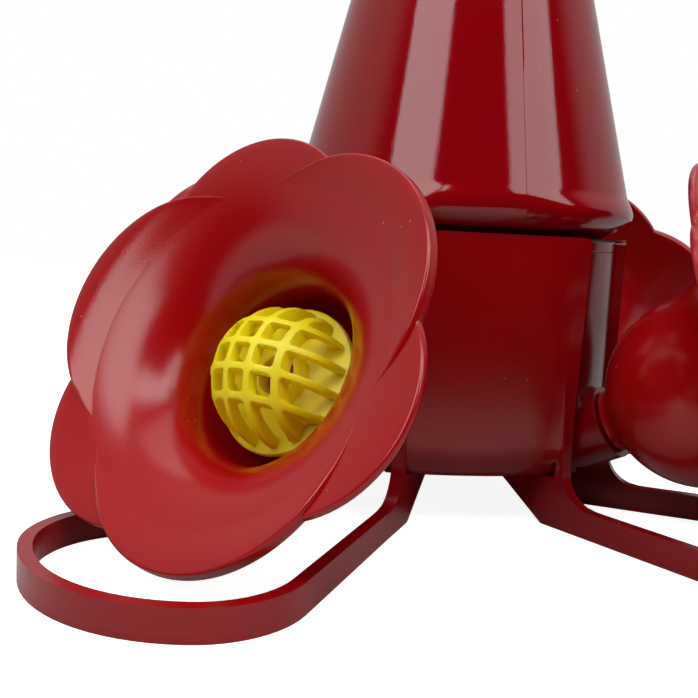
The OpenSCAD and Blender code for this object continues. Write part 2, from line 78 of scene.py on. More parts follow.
def make_camera():
    data = bpy.data.cameras.new("studio_camera")
    data.sensor_width = sensor_mm
    data.sensor_fit = "HORIZONTAL"
    data.lens = sensor_mm * focal_px / image_px
    data.clip_start = clip_near
    data.clip_end = clip_far
    camera = bpy.data.objects.new("studio_camera", data)
    back = camera_right.cross(camera_up).normalized()
    up = back.cross(camera_right)
    turn = Matrix((camera_right, up, back)).transposed()
    camera.matrix_world = Matrix.Translation(camera_place) @ turn.to_4x4()
    bpy.context.scene.collection.objects.link(camera)
    bpy.context.scene.camera = camera
    return camera


camera = make_camera()
print("lens in mm:", round(camera.data.lens, 1))

# %% [markdown]
# Every material here is a node tree, so three short helpers come before the first of them: one
# starts an empty tree, one adds a node with its settings, and one joins two sockets. With them,
# a material reads from top to bottom in the order in which its signals flow.

# %% Node helpers
def new_material(name):
    material = bpy.data.materials.new(name)
    material.use_nodes = True
    tree = material.node_tree
    tree.nodes.clear()
    return material, tree


def add(tree, kind, **values):
    node = tree.nodes.new(kind)
    for key, value in values.items():
        setattr(node, key, value)
    return node


def link(tree, source, target):
    tree.links.new(source, target)


# %% [markdown]
# The background is a white sweep. The floor could simply be a very bright white, but then it would
# also light the feeder from below. So it is a pale grey, and it glows only for rays that come from
# the camera or through clear plastic. The feeder's shadow stays on it.

# %% The floor
floor_half = 0.6
floor_front = -0.15
floor_gap = 0.05 * MM
floor_white = 0.55
floor_glow = 0.90


def make_floor():
    bm = bmesh.new()
    bmesh.ops.create_grid(bm, x_segments=2, y_segments=2, size=floor_half)
    bmesh.ops.translate(bm, verts=bm.verts[:], vec=(0, floor_half + floor_front, 0))
    mesh = bpy.data.meshes.new("floor")
    bm.to_mesh(mesh)
    bm.free()
    floor = bpy.data.objects.new("floor", mesh)
    floor.location.z = cad_box[0].z - floor_gap
    bpy.context.scene.collection.objects.link(floor)
    material, tree = new_material("floor_white")
    output = add(tree, "ShaderNodeOutputMaterial")
    matte = add(tree, "ShaderNodeBsdfDiffuse")
    matte.inputs["Color"].default_value = (floor_white, floor_white, floor_white, 1)
    glow = add(tree, "ShaderNodeEmission")
    path = add(tree, "ShaderNodeLightPath")
    seen = add(tree, "ShaderNodeMath", operation="MAXIMUM")
    link(tree, path.outputs["Is Camera Ray"], seen.inputs[0])
    link(tree, path.outputs["Is Transmission Ray"], seen.inputs[1])
    strength = add(tree, "ShaderNodeMath", operation="MULTIPLY")
    strength.inputs[1].default_value = floor_glow
    link(tree, seen.outputs[0], strength.inputs[0])
    link(tree, strength.outputs[0], glow.inputs["Strength"])
    both = add(tree, "ShaderNodeAddShader")
    link(tree, matte.outputs[0], both.inputs[0])
    link(tree, glow.outputs[0], both.inputs[1])
    link(tree, both.outputs[0], output.inputs["Surface"])
    mesh.materials.append(material)
    return floor


floor = make_floor()
print(floor.name, "side in metres:", 2 * floor_half)

# %% [markdown]
# Glossy plastic shows the room it stands in, so the room matters as much as the lamps. The sky
# of the world is white behind the feeder and at its sides and dims towards the camera, as in a
# studio where only the sweep is lit. Soft boxes give the broad upright highlights of the bottle.

# %% The world
room_dim = 0.012
room_bright = 0.50
dim_up_to, bright_from = -0.30, 0.05


def make_world():
    world = bpy.data.worlds.new("studio")
    world.use_nodes = True
    tree = world.node_tree
    tree.nodes.clear()
    output = add(tree, "ShaderNodeOutputWorld")
    place = add(tree, "ShaderNodeTexCoord")
    split = add(tree, "ShaderNodeSeparateXYZ")
    link(tree, place.outputs["Generated"], split.inputs[0])
    ramp = add(tree, "ShaderNodeMapRange", interpolation_type="SMOOTHSTEP")
    ramp.inputs["From Min"].default_value = dim_up_to
    ramp.inputs["From Max"].default_value = bright_from
    ramp.inputs["To Min"].default_value = room_dim
    ramp.inputs["To Max"].default_value = room_bright
    link(tree, split.outputs["Y"], ramp.inputs["Value"])
    room = add(tree, "ShaderNodeBackground")
    room.inputs["Color"].default_value = (1, 1, 1, 1)
    link(tree, ramp.outputs[0], room.inputs["Strength"])
    white = add(tree, "ShaderNodeBackground")
    white.inputs["Color"].default_value = (1, 1, 1, 1)
    white.inputs["Strength"].default_value = 1.0
    path = add(tree, "ShaderNodeLightPath")
    seen = add(tree, "ShaderNodeMath", operation="MAXIMUM")
    link(tree, path.outputs["Is Camera Ray"], seen.inputs[0])
    link(tree, path.outputs["Is Transmission Ray"], seen.inputs[1])
    mix = add(tree, "ShaderNodeMixShader")
    link(tree, seen.outputs[0], mix.inputs["Fac"])
    link(tree, room.outputs[0], mix.inputs[1])
    link(tree, white.outputs[0], mix.inputs[2])
    link(tree, mix.outputs[0], output.inputs["Surface"])
    bpy.context.scene.world = world
    return world


print("world:", make_world().name, "with a strength of", room_dim, "in front and", room_bright, "behind")

# %% [markdown]
# Each soft box is placed by its direction from the feeder, because that decides where its
# reflection lies on the round bottle: the mirror turns twice as fast as the surface does. Two
# boxes at the sides make the upright highlights, a high one lights the flowers' throats, and a
# large one overhead fills the rest.

# %% The lamps
aim_point = Vector((0.0, 0.0, 0.06))


def soft_box(name, azimuth, elevation, distance, width, height, watts):
    data = bpy.data.lights.new(name, "AREA")
    data.shape = "RECTANGLE"
    data.size = width
    data.size_y = height
    data.energy = watts
    lamp = bpy.data.objects.new(name, data)
    flat = math.cos(math.radians(elevation))
    away = Vector((
        flat * math.cos(math.radians(azimuth)),
        flat * math.sin(math.radians(azimuth)),
        math.sin(math.radians(elevation)),
    ))
    lamp.location = aim_point + away * distance
    lamp.rotation_euler = (-away).to_track_quat("-Z", "Y").to_euler()
    bpy.context.scene.collection.objects.link(lamp)
    return lamp


soft_box("left_box", azimuth=221, elevation=40, distance=0.85, width=0.42, height=0.56, watts=3.2)
soft_box("right_box", azimuth=310, elevation=36, distance=0.85, width=0.52, height=0.42, watts=2.3)
soft_box("front_box", azimuth=275, elevation=58, distance=0.85, width=0.60, height=0.28, watts=2.5)
soft_box("top_box", azimuth=90, elevation=75, distance=0.90, width=0.80, height=0.80, watts=2.2)

# %% [markdown]
# Moulded plastic is never perfectly clean or perfectly flat. Two small effects are shared by all
# the plastics, so each is a node group: specks of dust that show pale on the gloss, and the very
# slow waviness that bends a reflection. The groups give colour, roughness, height and a mottle.

# %% Starting a node group
def new_group(name, inputs, outputs):
    tree = bpy.data.node_groups.new(name, "ShaderNodeTree")
    for label, kind, value in inputs:
        socket = tree.interface.new_socket(name=label, in_out="INPUT", socket_type=kind)
        socket.default_value = value
    for label, kind in outputs:
        tree.interface.new_socket(name=label, in_out="OUTPUT", socket_type=kind)
    start = tree.nodes.new("NodeGroupInput")
    end = tree.nodes.new("NodeGroupOutput")
    return tree, start, end


# %% The dust specks
speck_cells = 420.0
speck_core, speck_edge = 0.02, 0.09
patch_scale, patch_detail = 60.0, 3.0
patch_from, patch_full = 0.52, 0.66
dust_roughness = 0.5


def make_dust_group():
    tree, start, end = new_group(
        "dust_specks",
        [
            ("Color", "NodeSocketColor", (0.5, 0.02, 0.02, 1)),
            ("Dust", "NodeSocketColor", (0.75, 0.55, 0.5, 1)),
            ("Amount", "NodeSocketFloat", 0.5),
            ("Roughness", "NodeSocketFloat", 0.2),
        ],
        [("Color", "NodeSocketColor"), ("Roughness", "NodeSocketFloat")],
    )
    place = add(tree, "ShaderNodeTexCoord")
    cells = add(tree, "ShaderNodeTexVoronoi", feature="F1")
    cells.inputs["Scale"].default_value = speck_cells
    cells.inputs["Randomness"].default_value = 1.0
    link(tree, place.outputs["Object"], cells.inputs["Vector"])
    near = add(tree, "ShaderNodeMapRange", interpolation_type="SMOOTHSTEP")
    near.inputs["From Min"].default_value = speck_core
    near.inputs["From Max"].default_value = speck_edge
    near.inputs["To Min"].default_value = 1.0
    near.inputs["To Max"].default_value = 0.0
    link(tree, cells.outputs["Distance"], near.inputs["Value"])
    patches = add(tree, "ShaderNodeTexNoise")
    patches.inputs["Scale"].default_value = patch_scale
    patches.inputs["Detail"].default_value = patch_detail
    link(tree, place.outputs["Object"], patches.inputs["Vector"])
    some = add(tree, "ShaderNodeMapRange", interpolation_type="SMOOTHSTEP")
    some.inputs["From Min"].default_value = patch_from
    some.inputs["From Max"].default_value = patch_full
    link(tree, patches.outputs["Fac"], some.inputs["Value"])
    both = add(tree, "ShaderNodeMath", operation="MULTIPLY")
    link(tree, near.outputs[0], both.inputs[0])
    link(tree, some.outputs[0], both.inputs[1])
    mask = add(tree, "ShaderNodeMath", operation="MULTIPLY")
    link(tree, both.outputs[0], mask.inputs[0])
    link(tree, start.outputs["Amount"], mask.inputs[1])
    tint = add(tree, "ShaderNodeMix", data_type="RGBA")
    link(tree, mask.outputs[0], tint.inputs["Factor"])
    link(tree, start.outputs["Color"], tint.inputs["A"])
    link(tree, start.outputs["Dust"], tint.inputs["B"])
    link(tree, tint.outputs["Result"], end.inputs["Color"])
    rough = add(tree, "ShaderNodeMath", operation="MULTIPLY_ADD")
    link(tree, mask.outputs[0], rough.inputs[0])
    rough.inputs[1].default_value = dust_roughness
    link(tree, start.outputs["Roughness"], rough.inputs[2])
    link(tree, rough.outputs[0], end.inputs["Roughness"])
    return tree


dust_group = make_dust_group()
print(dust_group.name, "nodes:", len(dust_group.nodes))


# %% The moulded skin
wave_detail, grain_detail = 1.0, 2.0


def make_skin_group():
    tree, start, end = new_group(
        "moulded_skin",
        [
            ("Wave", "NodeSocketFloat", 0.5),
            ("Wave Scale", "NodeSocketFloat", 45.0),
            ("Grain", "NodeSocketFloat", 0.1),
            ("Grain Scale", "NodeSocketFloat", 2500.0),
        ],
        [("Height", "NodeSocketFloat"), ("Mottle", "NodeSocketFloat")],
    )
    place = add(tree, "ShaderNodeTexCoord")
    wave = add(tree, "ShaderNodeTexNoise")
    wave.inputs["Detail"].default_value = wave_detail
    link(tree, place.outputs["Object"], wave.inputs["Vector"])
    link(tree, start.outputs["Wave Scale"], wave.inputs["Scale"])
    grain = add(tree, "ShaderNodeTexNoise")
    grain.inputs["Detail"].default_value = grain_detail
    link(tree, place.outputs["Object"], grain.inputs["Vector"])
    link(tree, start.outputs["Grain Scale"], grain.inputs["Scale"])
    slow = add(tree, "ShaderNodeMath", operation="MULTIPLY")
    link(tree, wave.outputs["Fac"], slow.inputs[0])
    link(tree, start.outputs["Wave"], slow.inputs[1])
    total = add(tree, "ShaderNodeMath", operation="MULTIPLY_ADD")
    link(tree, grain.outputs["Fac"], total.inputs[0])
    link(tree, start.outputs["Grain"], total.inputs[1])
    link(tree, slow.outputs[0], total.inputs[2])
    link(tree, total.outputs[0], end.inputs["Height"])
    link(tree, wave.outputs["Fac"], end.inputs["Mottle"])
    return tree


skin_group = make_skin_group()
print(skin_group.name, "nodes:", len(skin_group.nodes))

# %% [markdown]
# One function makes every plastic from a short list of values. The colour varies a little from
# place to place, the dust sits on top of it, and the skin bends the reflections. What stays the
# same all over, such as how deep light enters the yellow guards, is set on the shader itself.
# The bottle is the glossiest, the flowers are satin, and the rubber seals are nearly matt.


# %% The plastics
def plastic(name, color, shade, roughness, dust=0.4, wave=0.3, grain=0.05, grain_scale=2500.0,
            bump=0.0004, glow=0.0, glow_depth=(0.004, 0.0006, 0.0004)):
    material, tree = new_material(name)
    output = add(tree, "ShaderNodeOutputMaterial")
    shader = add(tree, "ShaderNodeBsdfPrincipled")
    skin = add(tree, "ShaderNodeGroup", node_tree=skin_group)
    skin.inputs["Wave"].default_value = wave
    skin.inputs["Grain"].default_value = grain
    skin.inputs["Grain Scale"].default_value = grain_scale
    tint = add(tree, "ShaderNodeMix", data_type="RGBA")
    tint.inputs["A"].default_value = (*color, 1)
    tint.inputs["B"].default_value = (*shade, 1)
    link(tree, skin.outputs["Mottle"], tint.inputs["Factor"])
    specks = add(tree, "ShaderNodeGroup", node_tree=dust_group)
    specks.inputs["Amount"].default_value = dust
    specks.inputs["Roughness"].default_value = roughness
    link(tree, tint.outputs["Result"], specks.inputs["Color"])
    link(tree, specks.outputs["Color"], shader.inputs["Base Color"])
    link(tree, specks.outputs["Roughness"], shader.inputs["Roughness"])
    raised = add(tree, "ShaderNodeBump")
    raised.inputs["Strength"].default_value = 1.0
    raised.inputs["Distance"].default_value = bump
    link(tree, skin.outputs["Height"], raised.inputs["Height"])
    link(tree, raised.outputs[0], shader.inputs["Normal"])
    shader.inputs["Subsurface Weight"].default_value = glow
    shader.inputs["Subsurface Radius"].default_value = glow_depth
    shader.inputs["Subsurface Scale"].default_value = 1.0
    link(tree, shader.outputs[0], output.inputs["Surface"])
    print("plastic:", name, "roughness", roughness)
    return material


perch_red = plastic("perch_red", (0.285, 0.0010, 0.003), (0.255, 0.0008, 0.002), 0.20)
bowl_red = plastic("bowl_red", (0.20, 0.001, 0.003), (0.18, 0.001, 0.002), 0.15)
bottle_red = plastic("bottle_red", (0.285, 0.0006, 0.004), (0.255, 0.0004, 0.002), 0.07, grain=0.02)
flower_red = plastic("flower_red", (0.37, 0.0025, 0.0035), (0.34, 0.002, 0.003), 0.20)
guard_yellow = plastic("guard_yellow", (0.96, 0.84, 0.008), (0.94, 0.75, 0.005), 0.44, dust=0.1,
                       glow=0.5, glow_depth=(0.003, 0.0026, 0.0003))
seal_rubber = plastic("seal_rubber", (0.06, 0.004, 0.012), (0.05, 0.004, 0.010), 0.45)


# %% [markdown]
# The wire bail is drawn steel. A polished metal would need only a low roughness, but drawn wire
# is dull in places, so the slow mottle of the skin group varies its roughness.

# %% The steel
steel_grey = (0.62, 0.62, 0.64, 1)
steel_smooth, steel_dull = 0.22, 0.36
steel_wave, steel_grain, steel_bump = 0.1, 0.2, 0.0001


def steel(name):
    material, tree = new_material(name)
    output = add(tree, "ShaderNodeOutputMaterial")
    shader = add(tree, "ShaderNodeBsdfPrincipled")
    skin = add(tree, "ShaderNodeGroup", node_tree=skin_group)
    skin.inputs["Wave"].default_value = steel_wave
    skin.inputs["Grain"].default_value = steel_grain
    shader.inputs["Base Color"].default_value = steel_grey
    shader.inputs["Metallic"].default_value = 1.0
    rough = add(tree, "ShaderNodeMapRange")
    rough.inputs["To Min"].default_value = steel_smooth
    rough.inputs["To Max"].default_value = steel_dull
    link(tree, skin.outputs["Mottle"], rough.inputs["Value"])
    link(tree, rough.outputs[0], shader.inputs["Roughness"])
    raised = add(tree, "ShaderNodeBump")
    raised.inputs["Distance"].default_value = steel_bump
    link(tree, skin.outputs["Height"], raised.inputs["Height"])
    link(tree, raised.outputs[0], shader.inputs["Normal"])
    link(tree, shader.outputs[0], output.inputs["Surface"])
    return material


bail_steel = steel("bail_steel")
print("metal:", bail_steel.name)

# %% [markdown]
# Every new piece ends the same way: its mesh is placed by a matrix, so that its object can stay
# at the origin. Faces are shaded smooth, and edges sharper than a given angle stay crisp. A piece
# that the feeder has four of is modelled once, and each copy of its mesh is placed at its corner.

# %% From a bmesh to a piece
def to_mesh(bm, name, material, crisp_degrees):
    mesh = bpy.data.meshes.new(name)
    bm.to_mesh(mesh)
    bm.free()
    for polygon in mesh.polygons:
        polygon.use_smooth = True
    mesh.set_sharp_from_angle(angle=math.radians(crisp_degrees))
    mesh.materials.append(material)
    print(name, "faces:", len(mesh.polygons))
    return mesh


def place(mesh, name, matrix, body, slot, node):
    copy = mesh.copy()
    copy.name = name
    copy.transform(matrix)
    piece = bpy.data.objects.new(name, copy)
    bpy.context.scene.collection.objects.link(piece)
    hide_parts(node)
    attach(piece, body)
    return piece


millimetres = Matrix.Scale(MM, 4)

# %% [markdown]
# Each flower is one moulding: petals, a funnel, a round cup, a stem and a plug. All of it is
# turned, apart from the petals' outline. So the whole section is drawn as a closed chain of
# vertices and spun over each petal's angle in turn, and then every ring of the funnel is
# stretched to the outline of its petal. Three petals lie over their neighbours. Each of the three
# is a thin skin on the funnel that sinks into it.

# %% The flower's sizes, in millimetres along and across the port's axis
corner_r, port_z = 33.1, 17.7
port_tilt = math.radians(26.9)
cup_r, wall = 16.0, 1.4
boss_len, stem_len, funnel_depth, plug_len = 4.6, 18.5, 16.0, 9.0
flange_sink, flange_t, plug_play, nozzle_up = 0.3, 1.6, 0.2, 0.8
cup_a = boss_len + stem_len
mouth_a = cup_a + funnel_depth
flange_a = cup_a - flange_sink
seat_a = flange_a - flange_t
seat_in, seat_out = 9.4, 10.9
stem_a, stem_r = boss_len + plug_play, 6.0
plug_a, plug_r = boss_len - plug_len, 4.2
passage_r = 2.2
nozzle_a = cup_a + nozzle_up
nozzle_foot_r, nozzle_tip_r, hole_r = 3.3, 2.8, 1.4
edge_round = 0.3
print("cup at", cup_a, "mouth at", mouth_a, "seat at", round(seat_a, 2), "on the port's axis")

# %% [markdown]
# The petals of the real flower don't all reach equally far, so every petal's tip is given by
# itself. The notches between them lie at one radius. Six equal petals would be simpler, but they
# look drawn by a machine.

# %% The petals' sizes
tip_r, notch_r = 37.8, 33.7
petal_tips = (36.3, 37.8, 37.8, 37.3, 38.1, 37.6)
petals = range(len(petal_tips))
petal_pitch = math.radians(60)
over_half = math.radians(32.7)
petal_turn = math.radians(15.3)
petal_step = 0.9
rim_round = 0.45


def petal_middle(petal):
    return petal_turn + petal_pitch * petal


def lies_over(petal):
    """Every second petal lies over its two neighbours."""
    return petal % 2 == 0


print("petals on top:", [petal for petal in petals if lies_over(petal)])


# %% The four ports
def port_matrix(azimuth):
    return (
        Matrix.Rotation(math.radians(azimuth), 4, "Z")
        @ Matrix.Translation((corner_r * MM, 0, port_z * MM))
        @ Matrix.Rotation(math.pi / 2 - port_tilt, 4, "Y")
        @ Matrix.Scale(MM, 4)
    )


corner_azimuth = {"front_left": 225, "front_right": 315, "back_right": 45, "back_left": 135}
print("ports:", list(corner_azimuth))

# %% [markdown]
# The funnel's section is one Bezier curve from the cup's rim to the lip, because a moulded throat
# has no corner in it. The curve's own share of the way says where a point lies, and a search by
# halving finds the share that belongs to a radius.

# %% The funnel's curve
funnel_rise, belly_r, belly_drop, lip_rise = 7.5, 21.0, 1.5, 0.8
halvings = 40
curve_ends = [
    Vector((cup_r, cup_a)),
    Vector((cup_r, cup_a + funnel_rise)),
    Vector((belly_r, mouth_a - belly_drop)),
    Vector((tip_r + wall, mouth_a + lip_rise)),
]


def curve_point(t):
    a, b, c, d = curve_ends
    return a * (1 - t) ** 3 + b * 3 * t * (1 - t) ** 2 + c * 3 * t * t * (1 - t) + d * t ** 3


def curve_frame(t):
    a, b, c, d = curve_ends
    along = (b - a) * (1 - t) ** 2 + (c - b) * 2 * t * (1 - t) + (d - c) * t * t
    along.normalize()
    return along, Vector((-along.y, along.x))


@lru_cache(maxsize=None)
def curve_t(radius):
    low, high = 0.0, 1.0
    for _ in range(halvings):
        middle = (low + high) / 2
        if curve_point(middle).x < radius:
            low = middle
        else:
            high = middle
    return (low + high) / 2


print("share of the curve at the notches:", round(curve_t(notch_r), 3))


# %% [markdown]
# A petal's edge is an arc of a circle. Three values fix that circle: the tip's radius, the notch's
# radius and the angle between the two. A freehand curve would need many more and gain nothing.

# %% A petal's outline
def half_angle(petal):
    return over_half if lies_over(petal) else petal_pitch - over_half


def petal_circle(petal):
    tip = petal_tips[petal]
    centre = (tip ** 2 - notch_r ** 2) / (2 * (tip - notch_r * math.cos(half_angle(petal))))
    return centre, tip - centre


def petal_edge(petal, turn, grow=0.0):
    centre, radius = petal_circle(petal)
    radius += grow
    return centre * math.cos(turn) + math.sqrt(radius ** 2 - (centre * math.sin(turn)) ** 2)


print("petal circles:", [tuple(round(v, 1) for v in petal_circle(petal)) for petal in petals])


# %% [markdown]
# A turned part is easiest to give as the half section that a lathe would cut: a chain of points,
# each with its distance from the axis and its height along it. Round corners are short arcs.

# %% Sections as chains of points
def arc(centre_x, centre_y, radius, start, stop, count):
    steps = [start + (stop - start) * i / count for i in range(count + 1)]
    turns = [math.radians(step) for step in steps]
    return [(centre_x + radius * math.cos(t), centre_y + radius * math.sin(t)) for t in turns]


def on_cup(radius, r):
    return cup_a - math.sqrt(radius ** 2 - r ** 2)


def cup_angle(radius, r):
    return -math.degrees(math.acos(r / radius))


# A sheet point is (share of the way to the rim, offset along the sheet, offset across it).
def rim_points(front, back, round_r):
    front_arc = arc(-round_r, front - round_r, round_r, 90, 0, 3)
    back_arc = arc(-round_r, back + round_r, round_r, 0, -90, 3)
    return [(1.0, x, y) for x, y in front_arc + back_arc]


print("points round the petals' rim:", len(rim_points(0.0, -wall, rim_round)))


# %% [markdown]
# A vertex of the funnel's sheet can't be placed before its petal is known, so it only gets a
# stand-in place at first, and its sheet point is kept in three number layers on the vertices.
# After the spin, the layers say where on its petal each vertex belongs.

# %% Chains of vertices
off_sheet = -1.0
stand_in_step = 0.01


def profile_verts(bm, points, layers):
    verts = [bm.verts.new((r, 0, a)) for r, a in points]
    for vert in verts:
        vert[layers[0]] = off_sheet
    return verts


def sheet_verts(bm, points, layers):
    verts = []
    for point in points:
        stand_in_r = cup_r + point[0] * (tip_r - cup_r)
        vert = bm.verts.new((stand_in_r, 0, mouth_a + stand_in_step * len(verts)))
        for layer, value in zip(layers, point):
            vert[layer] = value
        verts.append(vert)
    return verts


def close_chain(bm, verts):
    return [bm.edges.new((verts[i], verts[(i + 1) % len(verts)])) for i in range(len(verts))]


# %% The profiles inside and outside the cup
nozzle_round, plug_round = 0.6, 0.4
cup_floor_r, cup_end = 6.0, -6
flare_r, flare_drop, flare_bend, flare_len = 1.0, 0.7, 0.25, 1.2
cup_outer_r = cup_r + wall
inner_points = (
    [(passage_r, plug_a), (passage_r, nozzle_a - passage_r), (hole_r, nozzle_a - passage_r)]
    + [(hole_r, nozzle_a - edge_round), (hole_r + edge_round, nozzle_a)]
    + arc(nozzle_tip_r - nozzle_round, nozzle_a - nozzle_round, nozzle_round, 90, 10, 4)
    + [(nozzle_foot_r, seat_a), (nozzle_foot_r, on_cup(cup_r, nozzle_foot_r))]
    + arc(0, cup_a, cup_r, cup_angle(cup_r, cup_floor_r), cup_angle(cup_r, seat_in), 3)
    + [(seat_in, seat_a), (seat_out, seat_a)]
    + arc(0, cup_a, cup_r, cup_angle(cup_r, seat_out), cup_end, 8)
)
outer_points = (
    arc(0, cup_a, cup_outer_r, cup_end, cup_angle(cup_outer_r, stem_r + flare_r), 14)
    + [(stem_r + flare_bend, on_cup(cup_outer_r, stem_r + flare_r) - flare_drop)]
    + [(stem_r, on_cup(cup_outer_r, stem_r) - flare_len)]
    + [(stem_r, stem_a + edge_round), (stem_r - edge_round, stem_a), (plug_r, stem_a)]
    + [(plug_r, plug_a + plug_round), (plug_r - plug_round, plug_a)]
)
print("points inside and outside:", len(inner_points), len(outer_points))

# %% The turned body with its six petals
sheet_rings = 26
steps_on_top, steps_below = 30, 26
print("steps round a flower:", sum(steps_on_top if lies_over(petal) else steps_below for petal in petals))


def flower_body(bm, layers):
    front = [(i / sheet_rings, 0.0, 0.0) for i in range(sheet_rings)]
    back = [(i / sheet_rings, 0.0, -wall) for i in reversed(range(sheet_rings))]
    sheet = front + rim_points(0.0, -wall, rim_round) + back
    for petal in petals:
        half = half_angle(petal)
        first = Matrix.Rotation(petal_middle(petal) - half, 3, "Z")
        steps = steps_on_top if lies_over(petal) else steps_below
        verts = profile_verts(bm, inner_points, layers)
        verts += sheet_verts(bm, sheet, layers)
        verts += profile_verts(bm, outer_points, layers)
        edges = close_chain(bm, verts)
        bmesh.ops.rotate(bm, verts=verts, cent=(0, 0, 0), matrix=first)
        bmesh.ops.spin(bm, geom=verts + edges, cent=(0, 0, 0), axis=(0, 0, 1), angle=2 * half, steps=steps,
                       use_merge=False, use_duplicate=False)


# %% Stretching the sheet to its petals
angle_slack = 1e-5


def turn_from(middle, angle):
    return (angle - middle + math.pi) % (2 * math.pi) - math.pi


def petal_at(angle):
    """The petal that a polar angle belongs to, and the angle from that petal's middle."""
    for petal in petals:
        turn = turn_from(petal_middle(petal), angle)
        if abs(turn) <= half_angle(petal) + angle_slack:
            break
    return petal, turn


def shape_sheet(bm, layers):
    share, along, across = layers
    for vert in bm.verts:
        if vert[share] == off_sheet:
            continue
        angle = math.atan2(vert.co.y, vert.co.x)
        petal, turn = petal_at(angle)
        t = vert[share] * curve_t(round(petal_edge(petal, turn), 6))
        direction, normal = curve_frame(t)
        point = curve_point(t) + direction * vert[along] + normal * vert[across]
        vert.co = (point.x * math.cos(angle), point.x * math.sin(angle), point.y)


# %% [markdown]
# A petal on top is a skin over the sheet. It starts just under the sheet's face, at a set share of
# the curve, and rises by a small step before the rim. Its sides end where its own circle crosses
# that start, and its back lies hidden in the middle of the sheet's wall.

# %% Where a petal on top starts and ends
lap_start, lap_end = 0.76, 0.94


def petal_rise(t):
    k = min(1.0, max(0.0, (t - lap_start) / (lap_end - lap_start)))
    return petal_step * k * k * (3 - 2 * k)


def over_limit(petal):
    centre, radius = petal_circle(petal)
    start = curve_point(lap_start).x
    return math.acos((start ** 2 + centre ** 2 - radius ** 2) / (2 * start * centre))


print("half the angle of a petal on top, in degrees:", round(math.degrees(over_limit(0)), 1))

# %% The three petals that lie on top
skin_rings, skin_steps = 12, 64
skin_grow, skin_sink = 0.02, 0.04
corner_pull = 8
corner_degrees = (90, 60, 30, 0)
on_back, on_front, on_corner = 0, 1, 2


def over_petal(bm, layers, petal):
    limit = over_limit(petal)
    front = [(i / skin_rings, 0.0, on_front) for i in range(skin_rings)]
    corner = [(1.0, math.radians(degrees), on_corner) for degrees in corner_degrees]
    back = [(i / skin_rings, 0.0, on_back) for i in reversed(range(skin_rings + 1))]
    verts = sheet_verts(bm, front + corner + back, layers)
    edges = close_chain(bm, verts)
    first = Matrix.Rotation(petal_middle(petal) - limit, 3, "Z")
    bmesh.ops.rotate(bm, verts=verts, cent=(0, 0, 0), matrix=first)
    bmesh.ops.spin(bm, geom=verts + edges, cent=(0, 0, 0), axis=(0, 0, 1), angle=2 * limit,
                   steps=skin_steps, use_merge=False, use_duplicate=False)


def shape_over_petal(verts, layers, petal):
    share, along, across = layers
    limit = over_limit(petal)
    for vert in verts:
        angle = math.atan2(vert.co.y, vert.co.x)
        turn = max(-limit, min(limit, turn_from(petal_middle(petal), angle)))
        edge_t = curve_t(round(petal_edge(petal, turn, skin_grow), 6))
        t = lap_start + vert[share] * (max(edge_t, lap_start) - lap_start)
        direction, normal = curve_frame(t)
        rise = petal_rise(t)
        round_r = min(rim_round, rise)
        x, y = 0.0, -wall / 2
        if vert[across] == on_corner:
            x = -round_r + round_r * math.cos(vert[along])
            y = rise - round_r + round_r * math.sin(vert[along])
        elif vert[across] == on_front:
            x = -round_r * vert[share] ** corner_pull
            y = rise - skin_sink * (1 - rise / petal_step)
        point = curve_point(t) + direction * x + normal * y
        vert.co = (point.x * math.cos(angle), point.x * math.sin(angle), point.y)


# %% One flower
layer_names = ("share", "along", "across")
weld, speck = 0.004, 0.001
flower_crisp = 35


def flower_mesh():
    bm = bmesh.new()
    layers = [bm.verts.layers.float.new(label) for label in layer_names]
    flower_body(bm, layers)
    shape_sheet(bm, layers)
    bmesh.ops.remove_doubles(bm, verts=bm.verts[:], dist=weld)
    bmesh.ops.recalc_face_normals(bm, faces=bm.faces[:])
    for petal in filter(lies_over, petals):
        done = set(bm.verts)
        over_petal(bm, layers, petal)
        new = [vert for vert in bm.verts if vert not in done]
        shape_over_petal(new, layers, petal)
        bmesh.ops.remove_doubles(bm, verts=new, dist=weld)
    bmesh.ops.dissolve_degenerate(bm, edges=bm.edges[:], dist=speck)
    bmesh.ops.recalc_face_normals(bm, faces=bm.faces[:])
    for label in layer_names:
        bm.verts.layers.float.remove(bm.verts.layers.float[label])
    return to_mesh(bm, "flower", flower_red, flower_crisp)


flower = flower_mesh()

# %% [markdown]
# A bee guard is a hemisphere of crossing ribs on a round flange. A mould opens along the
# flower's axis, so every opening is straight along that axis. The lattice is therefore drawn
# flat first: a square is cut along the ribs' centre lines, each cell is inset to its opening,
# and the openings' corners are rounded by a vertex bevel. Then the flat lattice is thickened,
# and its two layers are lifted onto the outer and the inner sphere.

# %% The guard's sizes
guard_r, guard_inner_r = 12.2, 10.2
rib_w, rib_pitch = 1.0, 4.4
lattice_turn = math.radians(4)
flange_r, skirt_h = 13.2, 3.6
bore_r, tube_r, tube_wall, tube_h = 3.5, 5.2, 0.9, 2.6
skirt_in = 11.0
rim_r = guard_r - 0.05
rib_lines = [line * rib_pitch for line in (-1.5, -0.5, 0.5, 1.5)]
print("ribs at", [round(line, 1) for line in rib_lines], "in a dome of radius", guard_r)

# %% The flat lattice
both_ways = (Vector((1, 0, 0)), Vector((0, 1, 0)))
sheet_margin = 2
fine_cut = 0.9
opening_round = 0.55
on_the_line = 1e-4
print("cells of the flat lattice:", (len(rib_lines) + 1) ** 2)


def cut_along(bm, position, axis):
    bmesh.ops.bisect_plane(bm, geom=bm.verts[:] + bm.edges[:] + bm.faces[:], dist=on_the_line,
                           plane_co=axis * position, plane_no=axis)


def is_opening(face):
    middle = face.calc_center_median()
    return all(abs(value - line) > rib_w for value in (middle.x, middle.y) for line in rib_lines)


